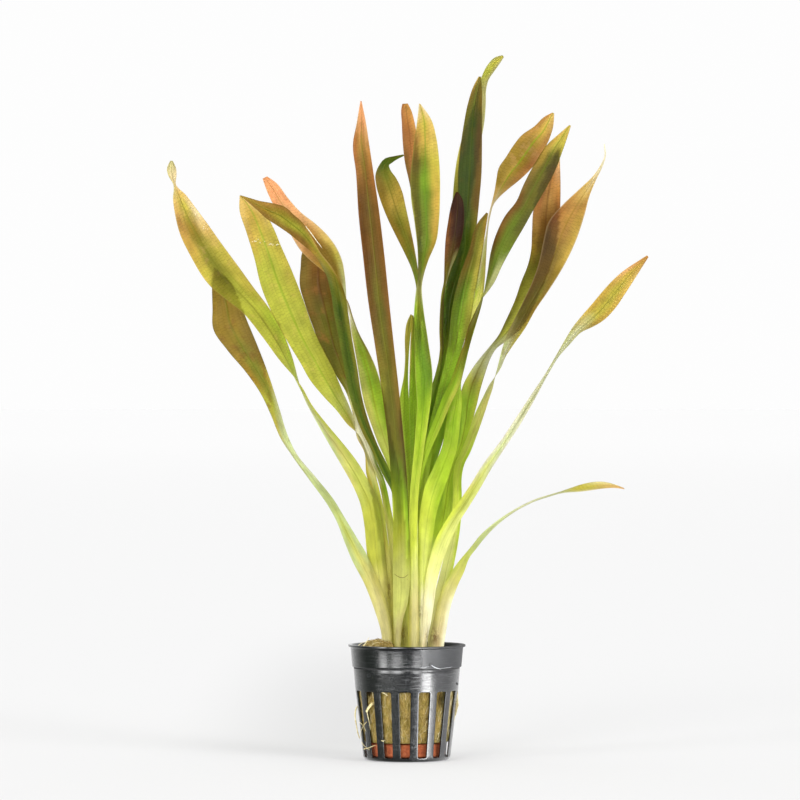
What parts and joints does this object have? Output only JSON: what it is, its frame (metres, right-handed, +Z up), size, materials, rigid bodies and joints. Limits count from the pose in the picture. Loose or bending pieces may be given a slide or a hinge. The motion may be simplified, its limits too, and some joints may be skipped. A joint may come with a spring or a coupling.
{
  "type": "potted vallisneria",
  "caption": "Water plant with long strap leaves rising and fanning out from a small black net pot filled with mineral wool over a clay ring.",
  "frame": {"origin": "centre of the pot's underside", "axes": "+Z up along the pot's axis, +X to the right as seen from the pictured front, +Y away from that front"},
  "size_m": [0.2047, 0.0685, 0.3023],
  "materials": {
    "black_plastic": "semi-gloss moulded black plastic with fine scratches",
    "fired_clay": "matt, porous",
    "mineral_wool": "golden-olive matted fibres",
    "stem": "fleshy, cream to pale green",
    "root": "cream, fine and wet",
    "leaf_olive": "thin translucent blade, semi-gloss, olive with brown margins",
    "leaf_green": "thin translucent blade, semi-gloss, green",
    "leaf_lime": "thin translucent blade, semi-gloss, yellow-green",
    "leaf_gold": "thin translucent blade, semi-gloss, golden brown fading to green",
    "leaf_brown": "thin translucent blade, semi-gloss, red-brown"
  },
  "bodies": {
    "root": {"pot": "black_plastic", "clay_ring": "fired_clay", "mineral_wool": "mineral_wool", "crown_left": "stem", "crown_middle": "stem", "crown_right": "stem", "root_long": "root", "root_stub": "root", "leaf_left_front": "leaf_brown", "leaf_left_low": "leaf_gold", "leaf_left_outer": "leaf_olive", "leaf_left_bright": "leaf_lime", "leaf_left_drooping": "leaf_green", "leaf_left_salmon": "leaf_gold", "leaf_left_brown": "leaf_brown", "leaf_middle_yellow": "leaf_lime", "leaf_middle_hooked": "leaf_olive", "leaf_middle_blunt": "leaf_brown", "leaf_middle_short_left": "leaf_lime", "leaf_middle_short_right": "leaf_lime", "leaf_middle_tall": "leaf_green", "leaf_middle_curled": "leaf_lime", "leaf_middle_red": "leaf_brown", "leaf_middle_lime": "leaf_lime", "leaf_middle_green": "leaf_green", "leaf_middle_gold": "leaf_gold", "leaf_middle_rust": "leaf_gold", "leaf_middle_wide": "leaf_lime", "leaf_right_hair_tip": "leaf_gold", "leaf_right_arching": "leaf_gold"}
  },
  "joints": []
}
